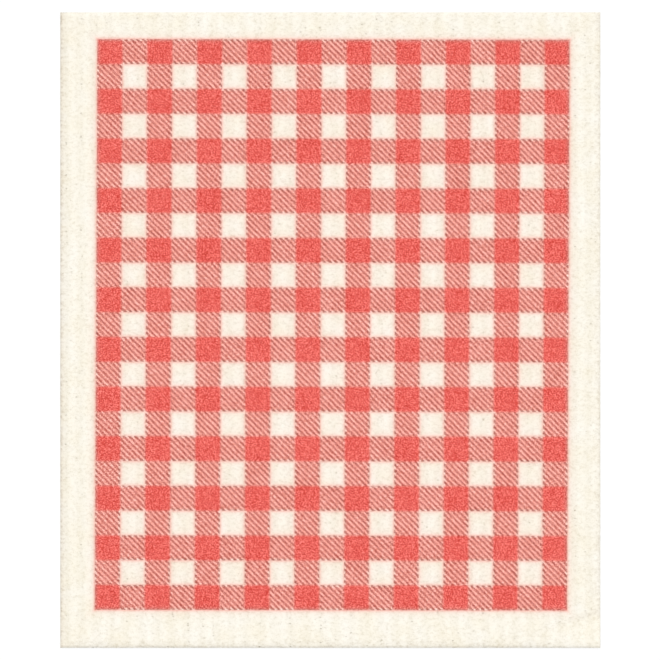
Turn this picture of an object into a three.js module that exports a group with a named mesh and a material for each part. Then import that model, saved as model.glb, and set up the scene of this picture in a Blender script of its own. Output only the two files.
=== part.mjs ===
// A sponge dishcloth: one die-cut sheet of cellulose and cotton fibre, lying flat, printed face up.
// Millimetres, +Z up. The long side runs along Y, and the origin is on the surface that the cloth
// lies on, under the middle of the sheet.

import * as THREE from 'three';

// The sheet
const sheetWidth = 170; // short side, along X
const sheetLength = 200; // long side, along Y
const sheetThickness = 1.8; // dry, from the crowns underneath to the crowns on top
const swell = 0.06; // slow rise and fall of the cast sheet's top
const swellLengthX = 96; // its wave lengths across and along the sheet
const swellLengthY = 131;

// The die cuts the outline straight and square, and presses the top face down along it
const edgeRoll = {
  // drop of the top face at the cut, and how far in from the cut it starts
  left: { drop: 0.5, reach: 3.1 },
  right: { drop: 0.2, reach: 0.6 },
  bottom: { drop: 0.45, reach: 1.9 },
  top: { drop: 0.15, reach: 0.5 },
};

// The ribs, which run the long way on both faces
const ribPitch = 4.7; // groove to groove
const middleGroove = 1.4; // X of the groove next to the middle, at Y = 0
const ribLean = 0.001; // X gained for each millimetre towards the bottom edge
const ribWaver = 0.35; // the ribs swing this far to each side along their length
const waverLength = 130; // one swing there and back
const waverPeak = 25; // Y at which they swing furthest right
const waverFade = 4; // the swing dies out this close to the side edges
const edgeGap = 0.4; // least distance from a rib's line of points to the line inside an edge
const ribSection = [
  // share of the pitch, drop of the top face, lift of the underside
  { at: 0.0, drop: 0.25, lift: 0.3 }, // groove
  { at: 0.22, drop: 0, lift: 0 }, // start of the crown
  { at: 0.78, drop: 0, lift: 0 }, // end of the crown
  { at: 1.0, drop: 0.25, lift: 0.3 }, // next groove
];

// The soft crease across the bottom right corner, past which the corner lifts a little
const creaseStart = new THREE.Vector2(72, -93); // the crease's inner end
const creaseEnd = new THREE.Vector2(85, -89); // where it meets the right edge
const cornerLift = 0.3; // rise of the corner
const cornerReach = 9; // distance past the crease over which it rises

const rowStep = 16.5; // longest step between two rows of points along Y

const halfWidth = sheetWidth / 2;
const halfLength = sheetLength / 2;

// The rib section at a distance x from the middle, between the rows of its table
function ribAt(x) {
  const phase = THREE.MathUtils.euclideanModulo((x - middleGroove) / ribPitch, 1);
  const next = ribSection.findIndex((row) => row.at > phase);
  const a = ribSection[next - 1];
  const b = ribSection[next];
  const t = (phase - a.at) / (b.at - a.at);
  return {
    drop: THREE.MathUtils.lerp(a.drop, b.drop, t),
    lift: THREE.MathUtils.lerp(a.lift, b.lift, t),
  };
}

// Columns: both edges, a line inside each, and the turning points of every rib between them
function columnPlaces() {
  const first = -halfWidth + edgeRoll.left.reach / 3;
  const last = halfWidth - edgeRoll.right.reach;
  const places = [-halfWidth, first];
  const ribCount = Math.ceil(sheetWidth / ribPitch);
  for (let rib = -ribCount; rib <= ribCount; rib++) {
    for (const row of ribSection.slice(0, -1)) {
      const x = middleGroove + (rib + row.at) * ribPitch;
      if (x > first + edgeGap && x < last - edgeGap) places.push(x);
    }
  }
  places.push(last, halfWidth);
  return places;
}

// Rows: both ends, lines where the edges turn down, and even steps between them
function rowPlaces() {
  const first = -halfLength + edgeRoll.bottom.reach;
  const last = halfLength - edgeRoll.top.reach;
  const steps = Math.ceil((last - first) / rowStep);
  const places = [-halfLength, -halfLength + edgeRoll.bottom.reach / 2];
  for (let i = 0; i <= steps; i++) places.push(THREE.MathUtils.lerp(first, last, i / steps));
  places.push(halfLength);
  return places;
}

// How far the ribs have swung to the right at y
function ribShift(y) {
  const swing = ribWaver * Math.cos((2 * Math.PI * (y - waverPeak)) / waverLength);
  return swing - ribLean * y;
}

// A point of the plan: its column swings along with the ribs, and the side edges stay straight
function planPoint(x, y) {
  const follow = Math.min(1, (halfWidth - Math.abs(x)) / waverFade);
  return new THREE.Vector2(x + follow * ribShift(y), y);
}

// How far the top face has rolled down towards the cut edges at a point
function rollAt(x, y) {
  const fall = (side, inside) => side.drop * (1 - THREE.MathUtils.smoothstep(inside, 0, side.reach));
  return Math.max(
    fall(edgeRoll.left, x + halfWidth),
    fall(edgeRoll.right, halfWidth - x),
    fall(edgeRoll.bottom, y + halfLength),
    fall(edgeRoll.top, halfLength - y),
  );
}

// How far the creased corner has risen at a point
function liftAt(point) {
  const along = creaseEnd.clone().sub(creaseStart).normalize();
  const past = point.clone().sub(creaseStart).dot(new THREE.Vector2(along.y, -along.x));
  const right = THREE.MathUtils.smoothstep(point.x, creaseStart.x - cornerReach, creaseEnd.x);
  return cornerLift * right * THREE.MathUtils.smoothstep(past, 0, cornerReach);
}

function swellAt(x, y) {
  return swell * Math.sin((2 * Math.PI * x) / swellLengthX) * Math.cos((2 * Math.PI * y) / swellLengthY);
}

// Both faces share one grid of columns and rows, and a wall joins their rims
function sheetGeometry() {
  const columns = columnPlaces();
  const rows = rowPlaces();
  const faceSize = columns.length * rows.length;
  const top = [];
  const under = [];
  for (const y of rows) {
    for (const x of columns) {
      const rib = ribAt(x);
      const point = planPoint(x, y);
      const rise = liftAt(point);
      const topZ = sheetThickness + swellAt(x, y) - rib.drop - rollAt(x, y);
      top.push(point.x, point.y, rise + topZ);
      under.push(point.x, point.y, rise + rib.lift);
    }
  }

  const index = [];
  const quad = (a, b, c, d) => index.push(a, b, c, a, c, d);
  const at = (column, row) => row * columns.length + column;
  for (let row = 0; row < rows.length - 1; row++) {
    for (let column = 0; column < columns.length - 1; column++) {
      const a = at(column, row);
      const b = at(column + 1, row);
      const c = at(column + 1, row + 1);
      const d = at(column, row + 1);
      quad(a, b, c, d);
      quad(faceSize + d, faceSize + c, faceSize + b, faceSize + a);
    }
  }

  const lastColumn = columns.length - 1;
  const lastRow = rows.length - 1;
  const wall = (a, b) => quad(a, faceSize + a, faceSize + b, b);
  for (let column = 0; column < lastColumn; column++) {
    wall(at(column, 0), at(column + 1, 0));
    wall(at(column + 1, lastRow), at(column, lastRow));
  }
  for (let row = 0; row < lastRow; row++) {
    wall(at(0, row + 1), at(0, row));
    wall(at(lastColumn, row), at(lastColumn, row + 1));
  }

  const geometry = new THREE.BufferGeometry();
  geometry.setAttribute('position', new THREE.Float32BufferAttribute([...top, ...under], 3));
  geometry.setIndex(index);
  geometry.computeVertexNormals();
  return geometry;
}

const cellulose = new THREE.MeshStandardMaterial({ color: 0xf8f0e0, roughness: 0.95, metalness: 0 });

const spongeSheet = new THREE.Mesh(sheetGeometry(), cellulose);
spongeSheet.name = 'sponge_sheet';

const dishcloth = new THREE.Group();
dishcloth.add(spongeSheet);

export default dishcloth;
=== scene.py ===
import math

import bpy
import numpy as np
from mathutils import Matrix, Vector, noise


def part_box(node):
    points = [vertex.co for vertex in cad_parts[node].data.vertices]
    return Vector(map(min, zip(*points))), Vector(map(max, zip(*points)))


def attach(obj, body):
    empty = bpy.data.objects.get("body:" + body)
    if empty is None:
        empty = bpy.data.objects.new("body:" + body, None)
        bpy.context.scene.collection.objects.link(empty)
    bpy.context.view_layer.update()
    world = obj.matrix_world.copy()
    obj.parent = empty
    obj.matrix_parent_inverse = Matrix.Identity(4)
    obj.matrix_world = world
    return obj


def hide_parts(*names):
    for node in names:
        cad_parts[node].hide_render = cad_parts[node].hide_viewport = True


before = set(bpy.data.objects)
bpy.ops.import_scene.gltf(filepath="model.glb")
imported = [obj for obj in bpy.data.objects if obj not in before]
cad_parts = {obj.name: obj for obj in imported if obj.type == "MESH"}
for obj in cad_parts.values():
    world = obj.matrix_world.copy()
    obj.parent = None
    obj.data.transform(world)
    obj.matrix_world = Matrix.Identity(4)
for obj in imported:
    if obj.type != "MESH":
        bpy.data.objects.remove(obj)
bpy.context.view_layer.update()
mm = 0.001


def hexToLinear(code):
    values = [int(code[i:i + 2], 16) / 255 for i in (0, 2, 4)]
    linear = [v / 12.92 if v <= 0.04045 else ((v + 0.055) / 1.055) ** 2.4 for v in values]
    return (*linear, 1.0)


def smoothStep(value, start, end):
    t = np.clip((value - start) / (end - start), 0, 1)
    return t * t * (3 - 2 * t)


# The sheet: a closed mesh whose grid lines follow the ribs

sheet = {
    "node": "sponge_sheet",
    "thickness": 1.8,  # dry, crown to crown
    "swell": (0.06, 96, 131),  # rise of the cast sheet's top, and its wave lengths across and along
    "edgeRoll": {  # how far the top face drops at each cut edge, and over which distance
        "left": (0.5, 3.1),
        "right": (0.2, 0.6),
        "bottom": (0.33, 1.9),
        "top": (0.15, 0.5),
    },
    "columnsPerRib": 8,
    "rowStep": 0.8,
    "clearance": 0.02,  # the underside's crowns stay this far off the surface
    "lumps": [(3.1, 0.035), (1.3, 0.03)],  # size and height of the dried sponge's lumps
    "underLayer": 7.3,  # the underside takes its lumps from another layer of the noise
}

ribs = {
    "pitch": 4.7,
    "middleGroove": 1.4,  # X of the groove next to the middle
    "lean": 0.001,  # they drift right towards the bottom
    "waver": 0.35,  # and swing to each side
    "waverLength": 130,
    "waverPeak": 25,  # Y of the swing's right end
    "waverFade": 4,  # the swing dies out this close to the side edges
    "halfGroove": 0.24,  # half a groove's width, as a share of the pitch
    "drop": 0.25,  # depth of a groove on top
    "lift": 0.3,  # and underneath
    "dome": 0.04,  # how much a crown is rounded
}

crease = {  # the soft crease across the bottom right corner
    "start": (72, -93),
    "end": (85, -89),
    "depth": 0.1,
    "underShare": 0.5,  # how much of that depth the underside follows, downwards
    "halfWidth": 0.8,
    "lift": 0.3,  # the corner past it lifts a little
    "reach": 9,
}

cut = {  # the die's cut edge, from the top face down to the underside
    "inset": 0.22,  # the faces end this far inside the cut
    # each ring of points: how far inside the cut it lies, and at which share of the height
    "rings": [(0.17, 0.95), (0.02, 0.8), (0.0, 0.5), (0.02, 0.2), (0.14, 0.05)],
    "rough": (0.5, 0.05),  # size and depth of the torn fibres' unevenness
    "roughShift": 0.5,  # draws it inwards, so nothing stands out past the cut
}

low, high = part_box(sheet["node"])
halfWidth = (high.x - low.x) / 2 / mm
halfLength = (high.y - low.y) / 2 / mm


def ribShift(y):
    swing = ribs["waver"] * np.cos(2 * np.pi * (y - ribs["waverPeak"]) / ribs["waverLength"])
    return swing - ribs["lean"] * y


def ribPhase(x):
    # distance from the nearest groove's middle, as a share of the pitch
    phase = (x - ribs["middleGroove"]) / ribs["pitch"]
    return np.abs(phase - np.round(phase))


def grooveAt(x):
    # 1 in the middle of a groove, 0 on a crown
    t = np.clip(ribPhase(x) / ribs["halfGroove"], 0, 1)
    return 0.5 + 0.5 * np.cos(np.pi * t)


@np.vectorize
def lumpAt(x, y, layer):
    height = 0.0
    for size, amount in sheet["lumps"]:
        height += amount * noise.noise(Vector((x / size, y / size, layer + size)))
    return height


def creaseAt(x, y):
    # distance past the crease, and how much of it shows at this point
    start = np.array(crease["start"])
    along = np.array(crease["end"]) - start
    along = along / np.linalg.norm(along)
    past = (x - start[0]) * along[1] - (y - start[1]) * along[0]
    shown = smoothStep(x, crease["start"][0] - crease["reach"], crease["end"][0])
    return past, shown


def faceHeights(x, y, planX):
    # heights of the top face and of the underside
    past, shown = creaseAt(planX, y)
    rise = crease["lift"] * shown * smoothStep(past, 0, crease["reach"])
    trough = crease["depth"] * shown * np.exp(-(past / crease["halfWidth"]) ** 2)
    insides = {
        "left": x + halfWidth,
        "right": halfWidth - x,
        "bottom": y + halfLength,
        "top": halfLength - y,
    }
    roll = 0
    for side, (drop, reach) in sheet["edgeRoll"].items():
        roll = np.maximum(roll, drop * (1 - smoothStep(insides[side], 0, reach)))
    swell, swellX, swellY = sheet["swell"]
    swellHere = swell * np.sin(2 * np.pi * x / swellX) * np.cos(2 * np.pi * y / swellY)
    groove = grooveAt(x)
    dome = ribs["dome"] * (1 - np.cos(2 * np.pi * (0.5 - ribPhase(x)))) / 2
    flatZ = sheet["thickness"] + swellHere - ribs["drop"] * groove - dome - roll
    topZ = flatZ + rise - trough + lumpAt(planX, y, 0.0)
    lumpUnder = np.abs(lumpAt(planX, y, sheet["underLayer"]))
    underZ = rise + ribs["lift"] * groove + lumpUnder - crease["underShare"] * trough
    return topZ, np.maximum(underZ, sheet["clearance"])


def rimOf(grid):
    # the outermost points of a grid, once round
    return np.concatenate([grid[0, :-1], grid[:-1, -1], grid[-1, :0:-1], grid[:0:-1, 0]])


def makeSheet():
    insideX = halfWidth - cut["inset"]
    insideY = halfLength - cut["inset"]

    # Columns on the ribs' own lines, with the two outermost on the faces' ends
    step = ribs["pitch"] / sheet["columnsPerRib"]
    first = ribs["middleGroove"] - step * math.floor((insideX + ribs["middleGroove"]) / step - 0.5)
    columns = np.arange(first, insideX - step / 2, step)
    columns = np.concatenate([[-insideX], columns, [insideX]])
    if len(columns) % 2 == 0:
        columns = np.insert(columns, -1, (columns[-1] + columns[-2]) / 2)
    rows = np.linspace(-insideY, insideY, 2 * round(insideY / sheet["rowStep"]) + 1)
    x, y = np.meshgrid(columns, rows)

    # Plan: the columns swing along with the ribs, and the side edges stay straight
    follow = np.minimum(1, (insideX - np.abs(x)) / ribs["waverFade"])
    planX = x + follow * ribShift(y)
    topZ, underZ = faceHeights(x, y, planX)

    # Top face, then the rings of the cut edge, then the underside on every second line
    rowCount, columnCount = x.shape
    points = [np.stack([planX, y, topZ], -1).reshape(-1, 3)]
    index = np.arange(rowCount * columnCount).reshape(rowCount, columnCount)
    rim = rimOf(index)
    outX = np.where(np.abs(x) == insideX, np.sign(x), 0).reshape(-1)[rim]
    outY = np.where(np.abs(y) == insideY, np.sign(y), 0).reshape(-1)[rim]
    rimTop = points[0][rim]
    rimUnder = underZ.reshape(-1)[rim]
    roughSize, roughDepth = cut["rough"]
    for inset, share in cut["rings"]:
        out = cut["inset"] - inset
        z = rimUnder + (rimTop[:, 2] - rimUnder) * share
        ring = np.stack([rimTop[:, 0] + outX * out, rimTop[:, 1] + outY * out, z], -1)
        rough = np.array([noise.noise(Vector(p) / roughSize) for p in ring])
        pull = np.minimum(0, roughDepth * (rough - cut["roughShift"]))
        ring[:, 0] += outX * pull
        ring[:, 1] += outY * pull
        points.append(ring)
    coarse = np.s_[::2, ::2]
    points.append(np.stack([planX[coarse], y[coarse], underZ[coarse]], -1).reshape(-1, 3))
    points = np.concatenate(points)

    grid = np.stack([index[:-1, :-1], index[:-1, 1:], index[1:, 1:], index[1:, :-1]], -1)
    faces = grid.reshape(-1, 4).tolist()
    topFaces = len(faces)
    ringStart = rowCount * columnCount
    loops = [rim]
    for i in range(len(cut["rings"])):
        loops.append(ringStart + i * len(rim) + np.arange(len(rim)))
    for upper, lower in zip(loops[:-1], loops[1:]):
        wall = np.stack([upper, lower, np.roll(lower, -1), np.roll(upper, -1)], -1)
        faces += wall.tolist()

    # The last ring has two points for each one of the underside's rim
    underStart = ringStart + len(cut["rings"]) * len(rim)
    under = underStart + np.arange(len(points) - underStart).reshape(x[coarse].shape)
    underRim = rimOf(under)
    last = loops[-1]
    for i in range(len(underRim)):
        a, b, c = last[2 * i], last[2 * i + 1], last[(2 * i + 2) % len(last)]
        d, e = underRim[i], underRim[(i + 1) % len(underRim)]
        faces += [[a, d, b], [b, d, e], [b, e, c]]
    wallFaces = len(faces)
    grid = np.stack([under[:-1, :-1], under[1:, :-1], under[1:, 1:], under[:-1, 1:]], -1)
    faces += grid.reshape(-1, 4).tolist()

    mesh = bpy.data.meshes.new("spongeSheet")
    mesh.from_pydata((points * mm).tolist(), [], faces)
    mesh.polygons.foreach_set("use_smooth", [True] * len(mesh.polygons))
    slots = np.zeros(len(faces), int)  # printed top, cut edge, underside
    slots[topFaces:wallFaces] = 1
    slots[wallFaces:] = 2
    mesh.polygons.foreach_set("material_index", slots)
    mesh.update()
    piece = bpy.data.objects.new("spongeSheet", mesh)
    bpy.context.scene.collection.objects.link(piece)
    return piece, (topFaces, wallFaces)


piece, faceCounts = makeSheet()
print("sheet made:", len(piece.data.polygons), "faces")


# The map for a baked picture: the printed face takes most of it, the rest stands to its right

atlas = {
    "top": (0.006, 0.006, 0.838, 0.986),  # left, bottom, width, height
    "under": (0.856, 0.006, 0.1, 0.986),
    "edge": (0.964, 0.006, 0.007, 0.986),  # the first of four strips, one for each side
    "edgeStep": 0.0085,
}


def mapSheet(piece, counts):
    mesh = piece.data
    co = np.zeros(len(mesh.vertices) * 3)
    mesh.vertices.foreach_get("co", co)
    co = co.reshape(-1, 3)
    loopPoint = np.zeros(len(mesh.loops), int)
    mesh.loops.foreach_get("vertex_index", loopPoint)
    sizes = np.zeros(len(mesh.polygons), int)
    mesh.polygons.foreach_get("loop_total", sizes)
    loopFace = np.repeat(np.arange(len(sizes)), sizes)
    centres = np.zeros(len(mesh.polygons) * 3)
    mesh.polygons.foreach_get("center", centres)
    centres = centres.reshape(-1, 3)[loopFace]

    place = co[loopPoint]
    u = (place[:, 0] - low.x) / (high.x - low.x)
    v = (place[:, 1] - low.y) / (high.y - low.y)
    w = place[:, 2] / high.z
    topFaces, wallFaces = counts
    isTop = loopFace < topFaces
    isUnder = loopFace >= wallFaces
    isWall = ~isTop & ~isUnder
    uv = np.zeros((len(u), 2))
    for name, chosen in (("top", isTop), ("under", isUnder)):
        left, bottom, width, height = atlas[name]
        uv[chosen] = np.stack([left + u * width, bottom + v * height], -1)[chosen]

    # The side that a wall face is on is the one that its middle lies nearest to
    middleX, middleY = centres[:, 0], centres[:, 1]
    gaps = np.stack([middleX - low.x, high.x - middleX, middleY - low.y, high.y - middleY])
    side = gaps.argmin(0)
    left, bottom, width, height = atlas["edge"]
    alongSide = np.where(side < 2, v, u)
    stripLeft = left + side * atlas["edgeStep"]
    strip = np.stack([stripLeft + w * width, bottom + alongSide * height], -1)
    uv[isWall] = strip[isWall]
    layer = mesh.uv_layers.new(name="OFBake")
    layer.data.foreach_set("uv", uv.reshape(-1))


mapSheet(piece, faceCounts)


# The sponge: cellulose and cotton cast as a wet sheet with ribs, then dried. It gives a matt cream
# surface with fine pores, short fibres and a slightly cloudy tone.

sponge = {
    "cream": "F6F3EC",
    "cutCream": "FFFDF4",  # torn fibres along the cut catch more light
    "creamShaded": "CFC5AC",  # painted shade in pores and in the ribs' grooves
    "cloud": "F0E8D4",  # faintly warmer patches
    "noises": {  # size, detail, roughness, and how far it is pressed flat along the ribs
        "cloud": (7.0, 2.0, 0.4, 1.0),
        "mottle": (1.15, 4.0, 0.4, 1.35),  # wet-laid clumps of fibre, drawn out across the ribs
        "grain": (0.3, 2.0, 0.4, 1.0),  # the finest speckle that a picture of the whole cloth holds
    },
    # Turns the noises' own grid, which shows as even and uneven zones if it lies flat
    "slant": (0.6, 0.4, 0.8),
    "grooveShade": 0.1,  # how far a groove's middle goes to the painted shade
    "poreSpacing": (1.6, 0.9),  # across and along the ribs: the pores are short slits across them
    "poreRadius": 0.38,  # real pores are finer too, drawn as coarse as they need to show
    "poreCore": 0.3,  # a pore is fully deep over this share of its radius
    "poreStir": (0.35, 0.5),  # size and reach of the unevenness of each pore's outline
    "poreShare": 0.44,  # how many of the cells hold an open pore
    "poreFull": 0.3,  # and how many of those are fully deep
    # how far an open pore goes to the painted shade
    "poreShade": 0.62,
    "crownPores": 0.35,  # share of the pores' depth that is left on the crowns
    "fibreWidth": 0.16,  # cotton fibres are finer, drawn as coarse as they need to show
    "fibreLength": 1.6,
    "fibreTurns": (0.4, -0.5),  # the two slants that they lie at
    "fibreCurl": 0.6,
    "fibreMean": 0.57,  # mean value of the fibres, which their speckle is counted from
    "clumpShare": 0.68,  # how much of the speckle is clumps
    "grainShare": 0.66,  # fine grain
    "fibreShare": 0.3,  # and fibres
    "brightest": 0.035,  # thin spots brighten no further than this, so the crowns stay even
    "brightBend": 0.1,  # how softly the speckle bends to that limit, also in the ink
    "density": 1.4,  # how strongly the clumps darken and redden the sponge
    "shade": 0.42,  # and how much light they take
    "roughness": 0.94,
    "specular": 0.3,
    "relief": {"clumps": 0.1, "fibres": 0.1, "pores": 0.2},  # heights, and the pores' depth
}

noiseMiddle = 0.5  # middle of a noise's values

# A dull line along the cut, partly where the die crushed the rim and partly painted shade at the left,
# bottom and right edges, as (distance from the cut, darkness); the crease's list is painted shade along
# the crease

rimShadeAndCrush = {
    "tone": "B5A594",
    "reach": 3.2,
    "left": [
        (0.0, 0.0), (0.2, 0.2), (0.45, 0.35), (0.7, 0.25),
        (1.05, 0.15), (1.35, 0.08), (2.0, 0.03), (3.0, 0.0),
    ],
    "right": [(0.0, 0.0), (0.2, 0.04), (0.5, 0.13), (0.8, 0.1), (1.1, 0.07), (1.7, 0.04), (2.2, 0.0)],
    "bottom": [(0.0, 0.04), (0.4, 0.12), (0.9, 0.06), (2.0, 0.03), (3.0, 0.0)],
    "crease": [(0.0, 0.0), (1.0, 0.1), (1.8, 0.16), (2.5, 0.05), (3.0, 0.0)],
    "creaseStart": -2.2,  # the crease's band of painted shade starts this far before its line
    "cornerFade": 2.5,  # the corner past it grows paler, with painted light, and smoother over this far
    "cornerLeft": 0.2,  # keeps this share of the dull rim and the pores
    "cornerPale": 0.2,  # and this much painted light
    # How far the clumps of fibre break each line up, and the clumps' values that do it fully
    "uneven": {"left": 0.3, "right": 0.7, "bottom": 1.0, "crease": 0.9},
    "clumps": (0.3, 0.7),
}

# The print: thin water-based ink pressed through a screen, sunk into the fibres. It gives flat red
# checks with a speckle where the sponge shows through, a dull rim and a faint pink halo.

ink = {
    "columns": 19,
    "rows": 23,
    "check": (7.814, 7.7995),  # width and length of one check
    "middle": (0.823, 1.672),  # the print's middle on the sheet
    "skew": (0.0048, 0.0016),  # columns lean right going up, rows drop going right
    "stretch": 0.22,  # the middle columns sit this far right of the outer ones
    "hatchStep": 0.2345,  # spacing of the twill lines, as a share of a check
    "hatchFull": -0.75,  # a line is full where its wave, from 1 to -1, is under this
    "solid": "E05950",
    "rim": "C67D73",
    "rimStops": [(0.0, 0.8), (0.3, 0.6), (0.6, 0.38), (0.95, 0.16), (1.4, 0.05), (2.0, 0.0)],
    "rimReach": 2.0,
    "lineEnd": "A86C60",  # darker than the rim: ink pools where a twill line ends
    "hatchLine": "CA6D62",
    "hatchGap": "F0A79A",
    "gapLeast": 0.4,  # ink left between the lines right beside a bare check
    "gapFade": 0.8,  # and how far from it the full ink starts
    "halo": "F0B3A5",
    "haloStops": [
        (0.0, 0.95), (0.3, 0.6), (0.64, 0.3), (0.96, 0.17), (1.6, 0.07), (2.6, 0.03), (3.2, 0.0),
    ],
    "haloReach": 3.2,
    "haloInside": 0.82,  # share of it beside the bare checks, against the margin
    "haloAcross": 0.055,  # the halo left in the middle of the bare checks
    "soft": 0.2,  # the ink's edge is blurred over this far to each side
    "blend": 0.55,  # and the edge between a solid check and a twill one over this far
    "wander": (0.5, 0.2),  # size and reach of the noise that the edge wanders by
    "brightest": 0.12,  # thin spots in the ink brighten no further than this
    "fibreShare": 0.04,  # how much of its speckle follows the fibres
    "cloudShare": 0.05,  # and the sponge's clouds
    "density": 3.15,  # how strongly dense spots deepen the red
    "poreShadeUnderInk": 0.04,  # painted shade: the open pores stay a little darker under the ink
    "shade": 1.1,  # how much light they take
}

# A Mix node set to colours takes them at its inputs 6 and 7 and gives the result at its output 2
mixColours = {"out": 2, "data_type": "RGBA"}


def addNode(tree, kind, inputs=None, out=0, **settings):
    node = tree.nodes.new("ShaderNode" + kind)
    for name, value in settings.items():
        setattr(node, name, value)
    for key, value in (inputs or {}).items():
        if isinstance(value, bpy.types.NodeSocket):
            tree.links.new(value, node.inputs[key])
        else:
            node.inputs[key].default_value = value
    return node.outputs[out] if node.outputs else node


def setRamp(node, stops, reach):
    ramp = node.color_ramp
    while len(ramp.elements) < len(stops):
        ramp.elements.new(0.5)
    for element, (place, value) in zip(ramp.elements, stops):
        element.position = place / reach
        element.color = (value, value, value, 1.0)


def spongeTone(tree, place):
    # values from 0 to 1: cloud, mottle, grain, pores and fibres
    tone = {}
    for name, (size, detail, rough, flat) in sponge["noises"].items():
        slantInputs = {"Vector": place, "Rotation": sponge["slant"], "Scale": (1.0, flat, 1.0)}
        slanted = addNode(tree, "Mapping", slantInputs)
        noiseInputs = {"Vector": slanted, "Scale": 1 / size, "Detail": detail, "Roughness": rough}
        tone[name] = addNode(tree, "TexNoise", noiseInputs)

    # Pores: cells with a stirred outline, of which some hold a pore
    size, reach = sponge["poreStir"]
    stirNoise = addNode(tree, "TexNoise", {"Vector": place, "Scale": 1 / size}, out="Color")
    stirStep = addNode(tree, "VectorMath", {0: stirNoise, 1: (noiseMiddle,) * 3}, operation="SUBTRACT")
    stirInputs = {0: stirStep, 1: (reach,) * 3, 2: place}
    stirred = addNode(tree, "VectorMath", stirInputs, operation="MULTIPLY_ADD")
    across, along = sponge["poreSpacing"]
    cellInputs = {0: stirred, 1: (1 / across, 1 / along, 1 / across)}
    cellPlace = addNode(tree, "VectorMath", cellInputs, operation="MULTIPLY")
    cells = addNode(tree, "TexVoronoi", {"Vector": cellPlace, "Scale": 1.0}).node
    radius = sponge["poreRadius"] / across
    depthInputs = {
        "Value": cells.outputs["Distance"],
        "From Min": radius,
        "From Max": radius * sponge["poreCore"],
    }
    depth = addNode(tree, "MapRange", depthInputs, interpolation_type="SMOOTHSTEP")
    pick = addNode(tree, "SeparateColor", {"Color": cells.outputs["Color"]})
    share = sponge["poreShare"]
    chosenInputs = {"Value": pick, "From Min": share, "From Max": share * sponge["poreFull"]}
    chosen = addNode(tree, "MapRange", chosenInputs)
    tone["pores"] = addNode(tree, "Math", {0: depth, 1: chosen}, operation="MULTIPLY")

    # Fibres: long thin noises at two slants, the stronger one on top
    strands = []
    length, width = sponge["fibreLength"], sponge["fibreWidth"]
    for turn in sponge["fibreTurns"]:
        turnedInputs = {
            "Vector": place,
            "Rotation": (0.0, 0.0, turn),
            "Scale": (1 / length, 1 / width, 1 / width),
        }
        turned = addNode(tree, "Mapping", turnedInputs)
        strandInputs = {
            "Vector": turned,
            "Scale": 1.0,
            "Detail": 1.0,
            "Distortion": sponge["fibreCurl"],
        }
        strands.append(addNode(tree, "TexNoise", strandInputs))
    tone["fibres"] = addNode(tree, "Math", {0: strands[0], 1: strands[1]}, operation="MAXIMUM")
    return tone


def addGrooves(tree, x, y):
    # 1 in a groove, 0 on a crown, with the ribs' own lean and waver
    turn = 2 * math.pi / ribs["waverLength"]
    swingInputs = {0: y, 1: turn, 2: -turn * ribs["waverPeak"]}
    swingAt = addNode(tree, "Math", swingInputs, operation="MULTIPLY_ADD")
    swing = addNode(tree, "Math", {0: swingAt}, operation="COSINE")
    shifted = addNode(tree, "Math", {0: swing, 1: -ribs["waver"], 2: x}, operation="MULTIPLY_ADD")
    leaned = addNode(tree, "Math", {0: y, 1: ribs["lean"], 2: shifted}, operation="MULTIPLY_ADD")
    ribTurn = 2 * math.pi / ribs["pitch"]
    angleInputs = {0: leaned, 1: ribTurn, 2: -ribTurn * ribs["middleGroove"]}
    angle = addNode(tree, "Math", angleInputs, operation="MULTIPLY_ADD")
    wave = addNode(tree, "Math", {0: angle}, operation="COSINE")
    return addNode(tree, "Math", {0: wave, 1: 0.5, 2: 0.5}, operation="MULTIPLY_ADD")


def addCreaseShade(tree, x, y):
    # the band of painted shade along the crease, and what is left of rim and pores on the corner past
    # it
    startX, startY = crease["start"]
    endX, endY = crease["end"]
    run = math.hypot(endX - startX, endY - startY)
    outX, outY = (endY - startY) / run, (startX - endX) / run
    offset = -startX * outX - startY * outY
    past = addNode(tree, "Math", {0: x, 1: outX, 2: offset}, operation="MULTIPLY_ADD")
    past = addNode(tree, "Math", {0: y, 1: outY, 2: past}, operation="MULTIPLY_ADD")
    shownInputs = {"Value": x, "From Min": startX - crease["reach"], "From Max": endX}
    shown = addNode(tree, "MapRange", shownInputs, interpolation_type="SMOOTHSTEP")
    reach = rimShadeAndCrush["reach"]
    shareInputs = {0: past, 1: 1 / reach, 2: -rimShadeAndCrush["creaseStart"] / reach}
    share = addNode(tree, "Math", shareInputs, operation="MULTIPLY_ADD")
    ramp = addNode(tree, "ValToRGB", {0: share})
    setRamp(ramp.node, rimShadeAndCrush["crease"], reach)
    band = addNode(tree, "Math", {0: ramp, 1: shown}, operation="MULTIPLY")
    beyondInputs = {
        "Value": past,
        "From Max": rimShadeAndCrush["cornerFade"],
        "To Max": 1 - rimShadeAndCrush["cornerLeft"],
    }
    beyond = addNode(tree, "MapRange", beyondInputs, interpolation_type="SMOOTHSTEP")
    faded = addNode(tree, "Math", {0: beyond, 1: shown}, operation="MULTIPLY")
    return band, addNode(tree, "Math", {0: 1.0, 1: faded}, operation="SUBTRACT")


def addBroken(tree, dullness, mottle, amount):
    # stronger on clumps and weaker between them
    weak, strong = rimShadeAndCrush["clumps"]
    factorInputs = {
        "Value": mottle,
        "From Min": weak,
        "From Max": strong,
        "To Min": 1 - amount,
        "To Max": 1 + amount,
    }
    factor = addNode(tree, "MapRange", factorInputs)
    return addNode(tree, "Math", {0: dullness, 1: factor}, operation="MULTIPLY")


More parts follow.
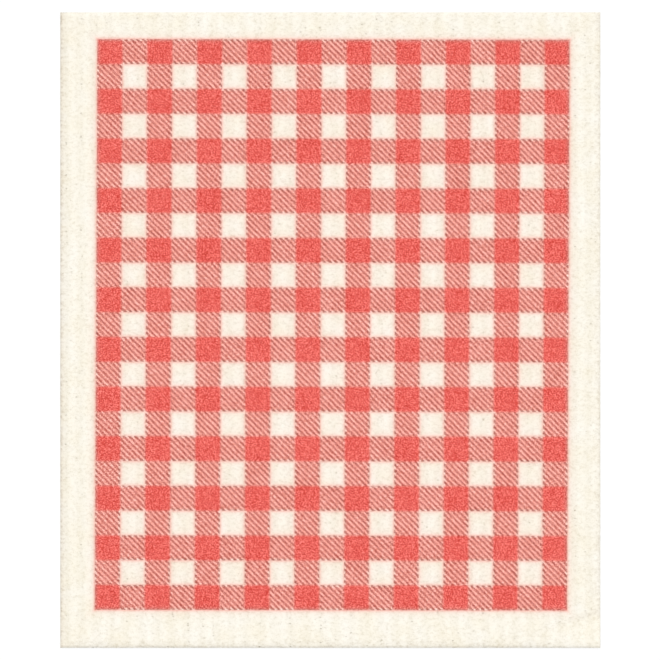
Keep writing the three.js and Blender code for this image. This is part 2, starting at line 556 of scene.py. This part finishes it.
def addRimShadeAndCrush(tree, x, y, mottle):
    # darkness of the rim, partly crush and partly painted shade: the most that any side gives, with the
    # crease's painted shade
    reach = rimShadeAndCrush["reach"]
    sides = {"left": (x, 1, halfWidth), "right": (x, -1, halfWidth), "bottom": (y, 1, halfLength)}
    darkest = None
    for name, (coordinate, sign, half) in sides.items():
        shareInputs = {0: coordinate, 1: sign / reach, 2: half / reach}
        share = addNode(tree, "Math", shareInputs, operation="MULTIPLY_ADD")
        ramp = addNode(tree, "ValToRGB", {0: share})
        setRamp(ramp.node, rimShadeAndCrush[name], reach)
        dull = addBroken(tree, ramp, mottle, rimShadeAndCrush["uneven"][name])
        if darkest:
            dull = addNode(tree, "Math", {0: dull, 1: darkest}, operation="MAXIMUM")
        darkest = dull
    band, left = addCreaseShade(tree, x, y)
    paler = addNode(tree, "Math", {0: darkest, 1: left}, operation="MULTIPLY")
    broken = addBroken(tree, band, mottle, rimShadeAndCrush["uneven"]["crease"])
    return addNode(tree, "Math", {0: paler, 1: broken}, operation="MAXIMUM"), left


def addCream(tree, x, y, tone, cream):
    # bare sponge: clouded, with painted shade in grooves and pores, a dull rim that is partly crush and
    # partly painted shade, and painted light on the creased corner
    cloudInputs = {0: tone["cloud"], 6: hexToLinear(sponge[cream]), 7: hexToLinear(sponge["cloud"])}
    colour = addNode(tree, "Mix", cloudInputs, **mixColours)
    groove = addGrooves(tree, x, y)
    grooveShare = addNode(tree, "Math", {0: groove, 1: sponge["grooveShade"]}, operation="MULTIPLY")
    # rim holds the rim's darkness, partly crush and partly painted shade, and the crease's painted
    # shade
    rim, left = addRimShadeAndCrush(tree, x, y, tone["mottle"])
    openness = addNode(tree, "MapRange", {"Value": groove, "To Min": sponge["crownPores"]})
    openHere = addNode(tree, "Math", {0: openness, 1: left}, operation="MULTIPLY")
    pores = addNode(tree, "Math", {0: tone["pores"], 1: openHere}, operation="MULTIPLY")
    # painted shade in the pores and the grooves
    deepInputs = {0: pores, 1: sponge["poreShade"], 2: grooveShare}
    deep = addNode(tree, "Math", deepInputs, operation="MULTIPLY_ADD")
    deepTone, rimTone = hexToLinear(sponge["creamShaded"]), hexToLinear(rimShadeAndCrush["tone"])
    colour = addNode(tree, "Mix", {0: deep, 6: colour, 7: deepTone}, **mixColours)
    colour = addNode(tree, "Mix", {0: rim, 6: colour, 7: rimTone}, **mixColours)
    # painted light on the corner past the crease
    paleInputs = {"Value": left, "From Min": 1.0, "From Max": 0.0, "To Max": rimShadeAndCrush["cornerPale"]}
    paintedLight = addNode(tree, "MapRange", paleInputs)
    paintedLightTone = hexToLinear(sponge["cutCream"])
    return addNode(tree, "Mix", {0: paintedLight, 6: colour, 7: paintedLightTone}, **mixColours), pores


def addSpeckle(tree, tone, pores, colour, inked):
    # denser and thinner spots, coarse on bare sponge and fine in the ink
    share = sponge["clumpShare"]
    mottleInputs = {0: tone["mottle"], 1: share, 2: -noiseMiddle * share}
    mottle = addNode(tree, "Math", mottleInputs, operation="MULTIPLY_ADD")
    grain = addNode(tree, "Math", {0: tone["grain"], 1: -noiseMiddle}, operation="ADD")
    strand = addNode(tree, "Math", {0: tone["fibres"], 1: sponge["fibreMean"]}, operation="SUBTRACT")
    clumpedInputs = {0: strand, 1: sponge["fibreShare"], 2: mottle}
    clumped = addNode(tree, "Math", clumpedInputs, operation="MULTIPLY_ADD")
    coarseInputs = {0: grain, 1: sponge["grainShare"], 2: clumped}
    coarse = addNode(tree, "Math", coarseInputs, operation="MULTIPLY_ADD")
    dulledInputs = {0: coarse, 1: -sponge["brightest"], 2: sponge["brightBend"]}
    dulled = addNode(tree, "Math", dulledInputs, operation="SMOOTH_MAX")

    share = ink["cloudShare"]
    cloudedInputs = {0: tone["cloud"], 1: share, 2: -noiseMiddle * share}
    clouded = addNode(tree, "Math", cloudedInputs, operation="MULTIPLY_ADD")
    strandInputs = {0: strand, 1: ink["fibreShare"], 2: clouded}
    strandInk = addNode(tree, "Math", strandInputs, operation="MULTIPLY_ADD")
    soaked = addNode(tree, "Math", {0: strandInk, 1: grain}, operation="ADD")
    dulledInputs = {0: soaked, 1: -ink["brightest"], 2: sponge["brightBend"]}
    dulledInk = addNode(tree, "Math", dulledInputs, operation="SMOOTH_MAX")
    # painted shade in the open pores under the ink
    unevenInputs = {0: pores, 1: ink["poreShadeUnderInk"], 2: dulledInk}
    uneven = addNode(tree, "Math", unevenInputs, operation="MULTIPLY_ADD")

    speck = addNode(tree, "Mix", {0: inked, 2: dulled, 3: uneven})
    amount = {}
    for kind in ("density", "shade"):
        strengthInputs = {"Value": inked, "To Min": sponge[kind], "To Max": ink[kind]}
        strength = addNode(tree, "MapRange", strengthInputs)
        amount[kind] = addNode(tree, "Math", {0: speck, 1: strength}, operation="MULTIPLY")
    power = addNode(tree, "Math", {0: amount["density"], 1: 1.0}, operation="ADD")
    light = addNode(tree, "Math", {0: 1.0, 1: amount["shade"]}, operation="SUBTRACT")
    dense = addNode(tree, "Gamma", {"Color": colour, "Gamma": power})
    return addNode(tree, "VectorMath", {0: dense, "Scale": light}, operation="SCALE")


def addRelief(tree, tone, pores, torn):
    # relief finer than the mesh: clumps, fibres and open pores, in millimetres
    relief = sponge["relief"]
    clumpInputs = {0: tone["mottle"], 1: relief["clumps"] * torn}
    clumps = addNode(tree, "Math", clumpInputs, operation="MULTIPLY")
    strandInputs = {0: tone["fibres"], 1: relief["fibres"] * torn, 2: clumps}
    strands = addNode(tree, "Math", strandInputs, operation="MULTIPLY_ADD")
    holeInputs = {0: pores, 1: -relief["pores"], 2: strands}
    holes = addNode(tree, "Math", holeInputs, operation="MULTIPLY_ADD")
    return addNode(tree, "Bump", {"Height": holes, "Distance": mm})


def makeSpongeMaterial(name, cream="cream", printed=False, torn=1.0):
    # torn is how much higher the fibres stand than on the printed face
    material = bpy.data.materials.new(name)
    material.use_nodes = True
    tree = material.node_tree
    tree.nodes.clear()
    here = addNode(tree, "TexCoord", out="Object")
    place = addNode(tree, "VectorMath", {0: here, "Scale": 1 / mm}, operation="SCALE")
    tone = spongeTone(tree, place)
    split = addNode(tree, "SeparateXYZ", {0: place}).node
    x, y = split.outputs["X"], split.outputs["Y"]
    colour, pores = addCream(tree, x, y, tone, cream)
    inked = 0.0
    if printed:
        colour, inked = addPrint(tree, place, colour)
    final = addSpeckle(tree, tone, pores, colour, inked)
    relief = addRelief(tree, tone, pores, torn)
    shaderInputs = {
        "Base Color": final,
        "Roughness": sponge["roughness"],
        "Normal": relief,
        "Specular IOR Level": sponge["specular"],
    }
    shader = addNode(tree, "BsdfPrincipled", shaderInputs)
    addNode(tree, "OutputMaterial", {"Surface": shader})
    return material


def addChecks(tree, place):
    # place on the print, counted in checks from its top left corner
    size, reach = ink["wander"]
    wanderNoise = addNode(tree, "TexNoise", {"Vector": place, "Scale": 1 / size}, out="Color")
    stepInputs = {0: wanderNoise, 1: (noiseMiddle,) * 3}
    wanderStep = addNode(tree, "VectorMath", stepInputs, operation="SUBTRACT")
    wander = addNode(tree, "VectorMath", {0: wanderStep, "Scale": reach}, operation="SCALE")
    moved = addNode(tree, "VectorMath", {0: place, 1: wander}, operation="ADD")
    split = addNode(tree, "SeparateXYZ", {0: moved}).node
    x, y = split.outputs["X"], split.outputs["Y"]
    skewX, skewY = ink["skew"]
    straightX = addNode(tree, "Math", {0: y, 1: -skewX, 2: x}, operation="MULTIPLY_ADD")
    straightY = addNode(tree, "Math", {0: x, 1: skewY, 2: y}, operation="MULTIPLY_ADD")
    width, length = ink["check"]
    middleX, middleY = ink["middle"]
    printHalf = ink["columns"] / 2 * width
    offInputs = {0: straightX, 1: 1 / printHalf, 2: -middleX / printHalf}
    offMiddle = addNode(tree, "Math", offInputs, operation="MULTIPLY_ADD")
    squared = addNode(tree, "Math", {0: offMiddle, 1: offMiddle}, operation="MULTIPLY")
    evenInputs = {0: squared, 1: ink["stretch"], 2: straightX}
    evenX = addNode(tree, "Math", evenInputs, operation="MULTIPLY_ADD")
    left = middleX - printHalf
    top = middleY + ink["rows"] / 2 * length
    u = addNode(tree, "Math", {0: evenX, 1: 1 / width, 2: -left / width}, operation="MULTIPLY_ADD")
    v = addNode(tree, "Math", {0: straightY, 1: -1 / length, 2: top / length}, operation="MULTIPLY_ADD")
    return addNode(tree, "CombineXYZ", {"X": u, "Y": v})


def addDistances(tree, cell):
    # distances in millimetres, positive inside: of the ink, of both bands and of the block
    size = (*ink["check"], 0.0)
    halfCheck = (0.5, 0.5, 0.0)
    fromBand = addNode(tree, "VectorMath", {0: cell, 1: halfCheck}, operation="SUBTRACT")
    wrapInputs = {0: fromBand, 1: (1.0, 1.0, 1.0), 2: (-1.0, -1.0, -1.0)}
    wrapped = addNode(tree, "VectorMath", wrapInputs, operation="WRAP")
    away = addNode(tree, "VectorMath", {0: wrapped}, operation="ABSOLUTE")
    within = addNode(tree, "VectorMath", {0: halfCheck, 1: away}, operation="SUBTRACT")
    band = addNode(tree, "VectorMath", {0: within, 1: size}, operation="MULTIPLY")
    bandSplit = addNode(tree, "SeparateXYZ", {0: band}).node
    halfPrint = (ink["columns"] / 2, ink["rows"] / 2, 0.0)
    fromMiddle = addNode(tree, "VectorMath", {0: cell, 1: halfPrint}, operation="SUBTRACT")
    farther = addNode(tree, "VectorMath", {0: fromMiddle}, operation="ABSOLUTE")
    inBlock = addNode(tree, "VectorMath", {0: halfPrint, 1: farther}, operation="SUBTRACT")
    block = addNode(tree, "VectorMath", {0: inBlock, 1: size}, operation="MULTIPLY")
    blockSplit = addNode(tree, "SeparateXYZ", {0: block}).node
    across, along = bandSplit.outputs["X"], bandSplit.outputs["Y"]
    anyBand = addNode(tree, "Math", {0: across, 1: along}, operation="MAXIMUM")
    bothBands = addNode(tree, "Math", {0: across, 1: along}, operation="MINIMUM")
    across, along = blockSplit.outputs["X"], blockSplit.outputs["Y"]
    blockEdge = addNode(tree, "Math", {0: across, 1: along}, operation="MINIMUM")
    inside = addNode(tree, "Math", {0: anyBand, 1: blockEdge}, operation="MINIMUM")
    return inside, bothBands, blockEdge


def addTwill(tree, cell):
    # 1 on a twill line, counted afresh in each check from its diagonal
    local = addNode(tree, "VectorMath", {0: cell}, operation="FRACTION")
    split = addNode(tree, "SeparateXYZ", {0: local}).node
    x, y = split.outputs["X"], split.outputs["Y"]
    diagonal = addNode(tree, "Math", {0: x, 1: y}, operation="SUBTRACT")
    turn = 2 * math.pi / ink["hatchStep"]
    turns = addNode(tree, "Math", {0: diagonal, 1: turn}, operation="MULTIPLY")
    wave = addNode(tree, "Math", {0: turns}, operation="COSINE")
    lineInputs = {"Value": wave, "From Min": 1.0, "From Max": ink["hatchFull"]}
    return addNode(tree, "MapRange", lineInputs, interpolation_type="SMOOTHSTEP")


def addPrint(tree, place, ground):
    # the gingham: solid red where bands cross, twill lines on single bands, bare sponge between
    cell = addChecks(tree, place)
    inside, bothBands, blockEdge = addDistances(tree, cell)
    masks = {}
    blurs = {"inked": (inside, "soft"), "solid": (bothBands, "blend"), "block": (blockEdge, "soft")}
    for name, (distance, blur) in blurs.items():
        maskInputs = {"Value": distance, "From Min": -ink[blur], "From Max": ink[blur]}
        masks[name] = addNode(tree, "MapRange", maskInputs, interpolation_type="SMOOTHSTEP")
    inked, solid, block = masks["inked"], masks["solid"], masks["block"]
    line = addTwill(tree, cell)

    # The ink's edge: a dull rim on checks and line ends, and thinner ink between the lines
    fromRim = addNode(tree, "Mix", {0: solid, 2: inside, 3: blockEdge})
    rimPlace = addNode(tree, "MapRange", {"Value": fromRim, "From Max": ink["rimReach"]})
    rimRamp = addNode(tree, "ValToRGB", {0: rimPlace})
    setRamp(rimRamp.node, ink["rimStops"], ink["rimReach"])
    marked = addNode(tree, "Math", {0: line, 1: solid}, operation="MAXIMUM")
    rimShare = addNode(tree, "Math", {0: rimRamp, 1: marked}, operation="MULTIPLY")
    gapInputs = {"Value": inside, "From Max": ink["gapFade"], "To Min": ink["gapLeast"]}
    gapInk = addNode(tree, "MapRange", gapInputs)
    colours = ("hatchGap", "hatchLine", "solid", "lineEnd", "rim", "halo")
    tones = {name: hexToLinear(ink[name]) for name in colours}
    gap = addNode(tree, "Mix", {0: gapInk, 6: ground, 7: tones["hatchGap"]}, **mixColours)
    hatch = addNode(tree, "Mix", {0: line, 6: gap, 7: tones["hatchLine"]}, **mixColours)
    red = addNode(tree, "Mix", {0: solid, 6: hatch, 7: tones["solid"]}, **mixColours)
    rimTone = addNode(tree, "Mix", {0: solid, 6: tones["lineEnd"], 7: tones["rim"]}, **mixColours)
    rimmed = addNode(tree, "Mix", {0: rimShare, 6: red, 7: rimTone}, **mixColours)

    # The halo fades out over the bare sponge, and a trace of it stays on the bare checks
    haloPlace = addNode(tree, "MapRange", {"Value": inside, "From Max": -ink["haloReach"]})
    haloRamp = addNode(tree, "ValToRGB", {0: haloPlace})
    setRamp(haloRamp.node, ink["haloStops"], ink["haloReach"])
    weakerInputs = {"Value": block, "To Min": 1.0, "To Max": ink["haloInside"]}
    weaker = addNode(tree, "MapRange", weakerInputs)
    fading = addNode(tree, "Math", {0: haloRamp, 1: weaker}, operation="MULTIPLY")
    haloInputs = {0: block, 1: ink["haloAcross"], 2: fading}
    halo = addNode(tree, "Math", haloInputs, operation="MULTIPLY_ADD")
    haloed = addNode(tree, "Mix", {0: halo, 6: ground, 7: tones["halo"]}, **mixColours)
    return addNode(tree, "Mix", {0: inked, 6: haloed, 7: rimmed}, **mixColours), inked


piece.data.materials.append(makeSpongeMaterial("screenPrintedCelluloseSponge", printed=True))
piece.data.materials.append(makeSpongeMaterial("dieCutCelluloseSponge", cream="cutCream", torn=2.5))
piece.data.materials.append(makeSpongeMaterial("castCelluloseSponge", torn=1.4))
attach(piece, "root")
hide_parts(sheet["node"])
print("sponge and print made")


# Floor, light and camera

studio = {
    "floorSize": 8000,
    "floor": "808080",
    "floorGlow": 0.79,  # lit from below, so that the cloth throws hardly any shadow
    "sky": 0.7,  # soft light from all round
    # A wide lamp beyond the top edge
    "key": {"from": (0.0, 0.45, 1.0), "strength": 1.54, "spread": 50},
}

camera = {
    "lens": 135,
    "sensor": 36,
    "field": 207.52,  # width of the view at the cloth's face
    "aim": (-0.065, 0.038, 1.6),  # the point in the middle of the picture
}


def makeStudio():
    size = studio["floorSize"] / 2 * mm
    mesh = bpy.data.meshes.new("floor")
    corners = [(-size, -size, 0), (size, -size, 0), (size, size, 0), (-size, size, 0)]
    mesh.from_pydata(corners, [], [(0, 1, 2, 3)])
    floor = bpy.data.objects.new("floor", mesh)
    bpy.context.scene.collection.objects.link(floor)
    paint = bpy.data.materials.new("mattWhitePaint")  # rolled matt emulsion: even white, no gloss
    paint.use_nodes = True
    shader = paint.node_tree.nodes["Principled BSDF"]
    shader.inputs["Base Color"].default_value = hexToLinear(studio["floor"])
    shader.inputs["Roughness"].default_value = 1.0
    shader.inputs["Specular IOR Level"].default_value = 0.0
    shader.inputs["Emission Color"].default_value = (1, 1, 1, 1)
    shader.inputs["Emission Strength"].default_value = studio["floorGlow"]
    mesh.materials.append(paint)

    world = bpy.data.worlds.new("softSky")
    world.use_nodes = True
    background = world.node_tree.nodes["Background"]
    background.inputs["Color"].default_value = (1, 1, 1, 1)
    background.inputs["Strength"].default_value = studio["sky"]
    bpy.context.scene.world = world

    key = bpy.data.lights.new("softbox", "SUN")
    key.energy = studio["key"]["strength"]
    key.angle = math.radians(studio["key"]["spread"])
    lamp = bpy.data.objects.new("softbox", key)
    lamp.location = Vector(studio["key"]["from"])
    lamp.rotation_euler = (-lamp.location).to_track_quat("-Z", "Y").to_euler()
    bpy.context.scene.collection.objects.link(lamp)


def makeCamera():
    data = bpy.data.cameras.new("overhead")
    data.lens = camera["lens"]
    data.sensor_width = camera["sensor"]
    eye = bpy.data.objects.new("overhead", data)
    halfAngle = math.atan(camera["sensor"] / 2 / camera["lens"])
    distance = camera["field"] / 2 / math.tan(halfAngle)
    aim = Vector(camera["aim"])
    eye.location = (aim + Vector((0, 0, distance))) * mm
    bpy.context.scene.collection.objects.link(eye)
    bpy.context.scene.camera = eye


makeStudio()
makeCamera()
bpy.context.scene.view_settings.view_transform = "Standard"
print("studio and camera made")

bpy.context.view_layer.update()
